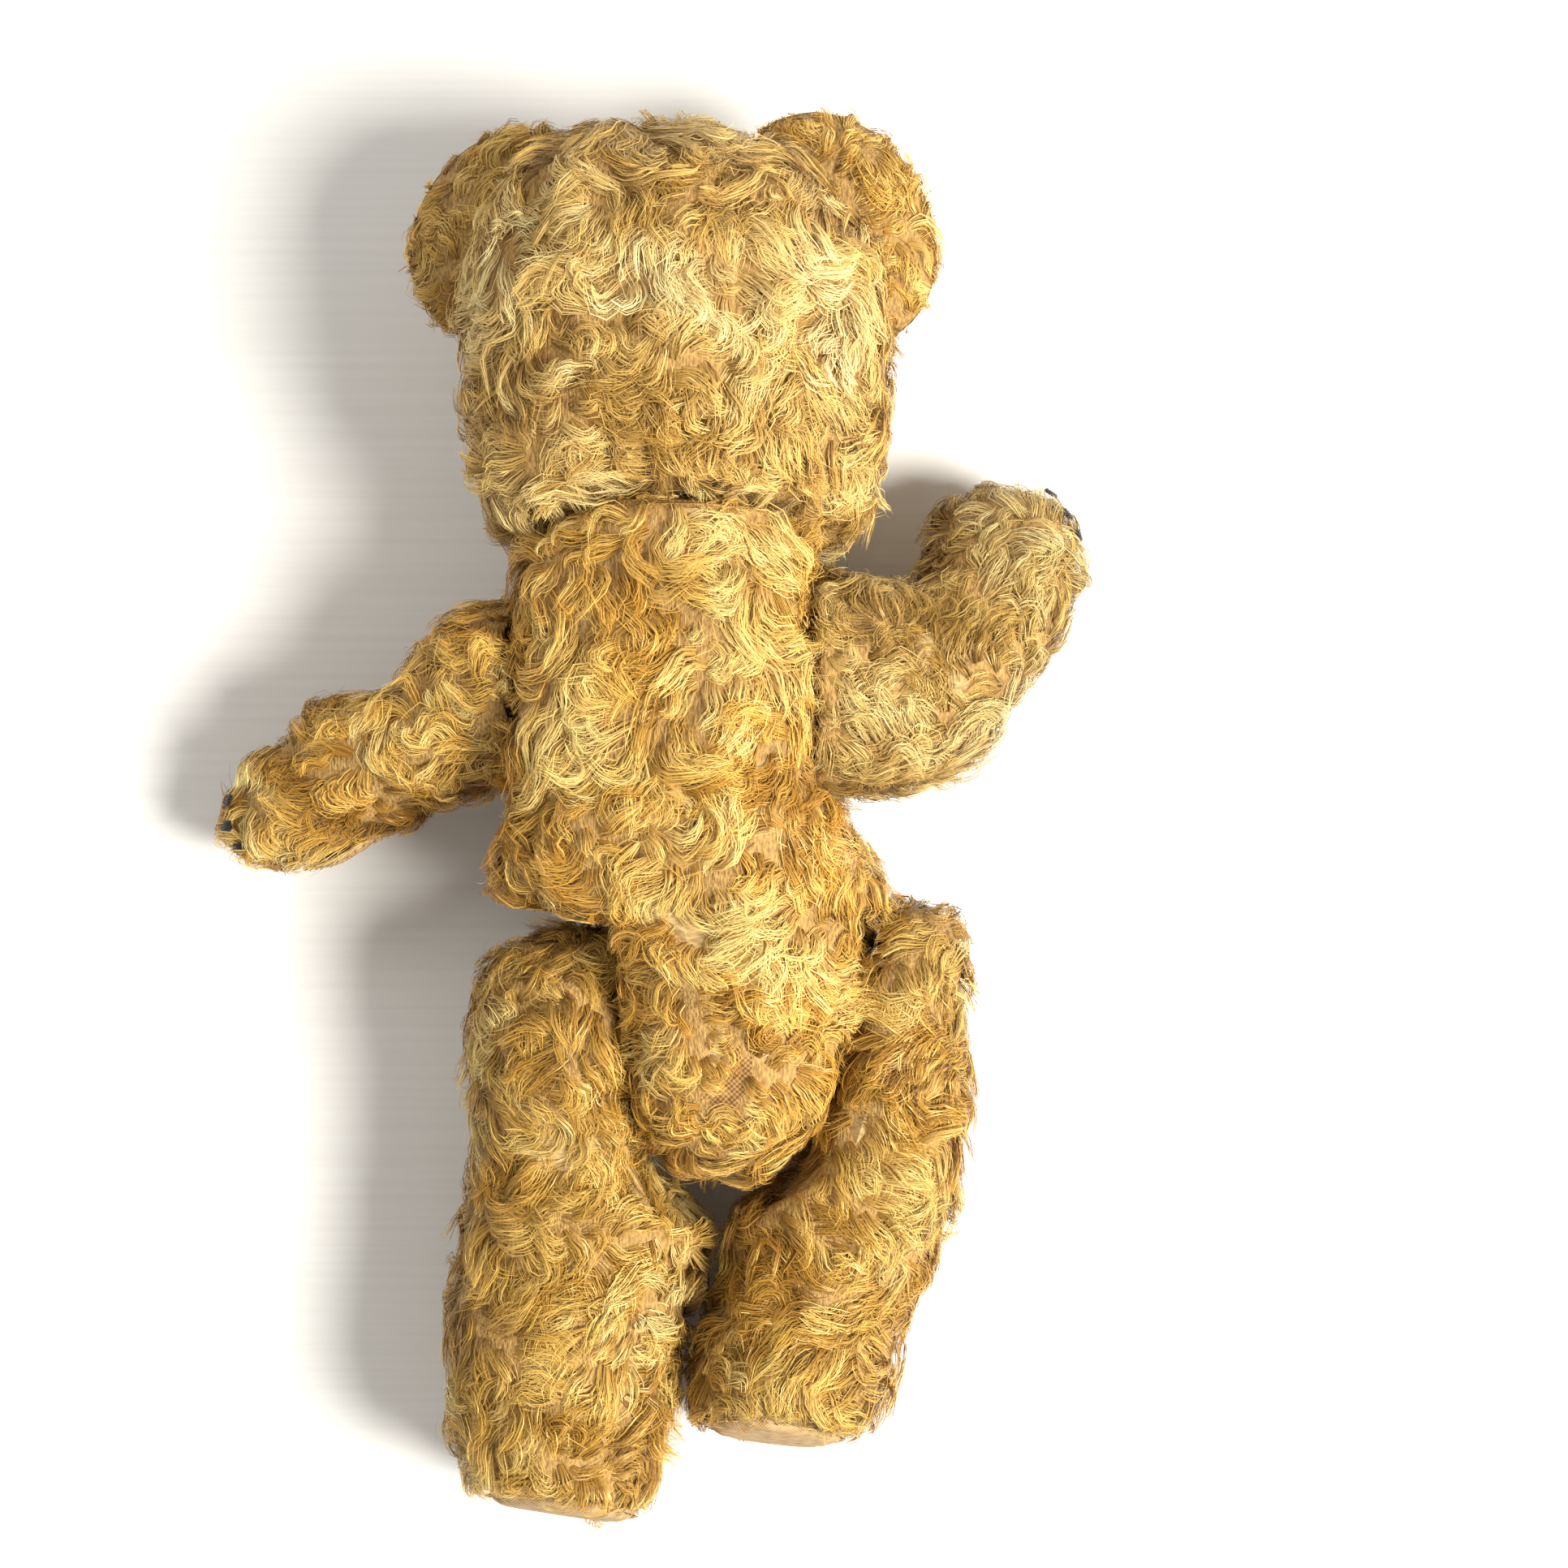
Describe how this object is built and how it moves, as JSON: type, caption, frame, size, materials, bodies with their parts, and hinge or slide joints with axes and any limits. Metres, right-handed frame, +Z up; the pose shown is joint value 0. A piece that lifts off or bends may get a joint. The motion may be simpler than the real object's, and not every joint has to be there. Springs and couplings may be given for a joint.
{
  "type": "jointed teddy bear",
  "caption": "Curly mohair teddy bear lying on its front, with disc-jointed head, arms and legs, woven paw and sole pads, glass eyes and stitched claws.",
  "frame": {"origin": "on the resting surface, under the middle of the bear's outline as it lies on its front", "axes": "+Y towards the head, +Z up out of the bear's back, +X to the bear's right side"},
  "size_m": [0.2436, 0.392, 0.1105],
  "materials": {
    "mohair_fur": "curly golden mohair pile on a woven cotton backing, worn in places",
    "stuffing": "packed wood wool and kapok",
    "woven_pad": "plain woven cotton, soiled tan",
    "black_thread": "black embroidery thread in satin stitch",
    "seam_thread": "waxed linen thread",
    "eye_glass": "polished amber glass with a black pupil",
    "pressed_card": "pressed grey-brown card",
    "joint_steel": "dull zinc-plated steel wire and washers"
  },
  "bodies": {
    "arm_left": {"arm_left_claws": "black_thread", "arm_left_cover": "mohair_fur", "arm_left_paw_pad": "woven_pad", "arm_left_stuffing": "stuffing", "shoulder_left_cotter_pin": "joint_steel", "shoulder_left_limb_disc": "pressed_card", "shoulder_left_limb_washer": "joint_steel"},
    "arm_right": {"arm_right_claws": "black_thread", "arm_right_cover": "mohair_fur", "arm_right_paw_pad": "woven_pad", "arm_right_stuffing": "stuffing", "shoulder_right_cotter_pin": "joint_steel", "shoulder_right_limb_disc": "pressed_card", "shoulder_right_limb_washer": "joint_steel"},
    "torso": {"back_closing_seam": "seam_thread", "body_cover": "mohair_fur", "body_stuffing": "stuffing", "hip_left_body_disc": "pressed_card", "hip_left_body_washer": "joint_steel", "hip_right_body_disc": "pressed_card", "hip_right_body_washer": "joint_steel", "neck_body_disc": "pressed_card", "neck_body_washer": "joint_steel", "shoulder_left_body_disc": "pressed_card", "shoulder_left_body_washer": "joint_steel", "shoulder_right_body_disc": "pressed_card", "shoulder_right_body_washer": "joint_steel"},
    "head": {"ear_left": "mohair_fur", "ear_right": "mohair_fur", "eye_left": "eye_glass", "eye_right": "eye_glass", "head_cover": "mohair_fur", "head_stuffing": "stuffing", "mouth_stitching": "black_thread", "neck_cotter_pin": "joint_steel", "neck_limb_disc": "pressed_card", "neck_limb_washer": "joint_steel", "nose_stitching": "black_thread"},
    "leg_left": {"hip_left_cotter_pin": "joint_steel", "hip_left_limb_disc": "pressed_card", "hip_left_limb_washer": "joint_steel", "leg_left_claws": "black_thread", "leg_left_cover": "mohair_fur", "leg_left_foot_pad": "woven_pad", "leg_left_insole_card": "pressed_card", "leg_left_stuffing": "stuffing"},
    "leg_right": {"hip_right_cotter_pin": "joint_steel", "hip_right_limb_disc": "pressed_card", "hip_right_limb_washer": "joint_steel", "leg_right_claws": "black_thread", "leg_right_cover": "mohair_fur", "leg_right_foot_pad": "woven_pad", "leg_right_insole_card": "pressed_card", "leg_right_stuffing": "stuffing"}
  },
  "joints": [
    {"name": "neck_turn", "type": "hinge", "parent": "torso", "child": "head", "pos_m": [0.0088, 0.07648, 0.051], "axis": [0, 0.9715, -0.2368], "continuous": true},
    {"name": "shoulder_left_turn", "type": "hinge", "parent": "torso", "child": "arm_left", "pos_m": [-0.0332, 0.04099, 0.05], "axis": [-1, 0, 0], "continuous": true},
    {"name": "shoulder_right_turn", "type": "hinge", "parent": "torso", "child": "arm_right", "pos_m": [0.0438, 0.03998, 0.05], "axis": [1, 0, 0], "continuous": true},
    {"name": "hip_left_turn", "type": "hinge", "parent": "torso", "child": "leg_left", "pos_m": [-0.0032, -0.05301, 0.048], "axis": [-0.9945, -0.1045, 0], "range_deg": [-90, 90]},
    {"name": "hip_right_turn", "type": "hinge", "parent": "torso", "child": "leg_right", "pos_m": [0.0548, -0.05301, 0.048], "axis": [0.9511, -0.309, 0], "range_deg": [-90, 90]}
  ]
}
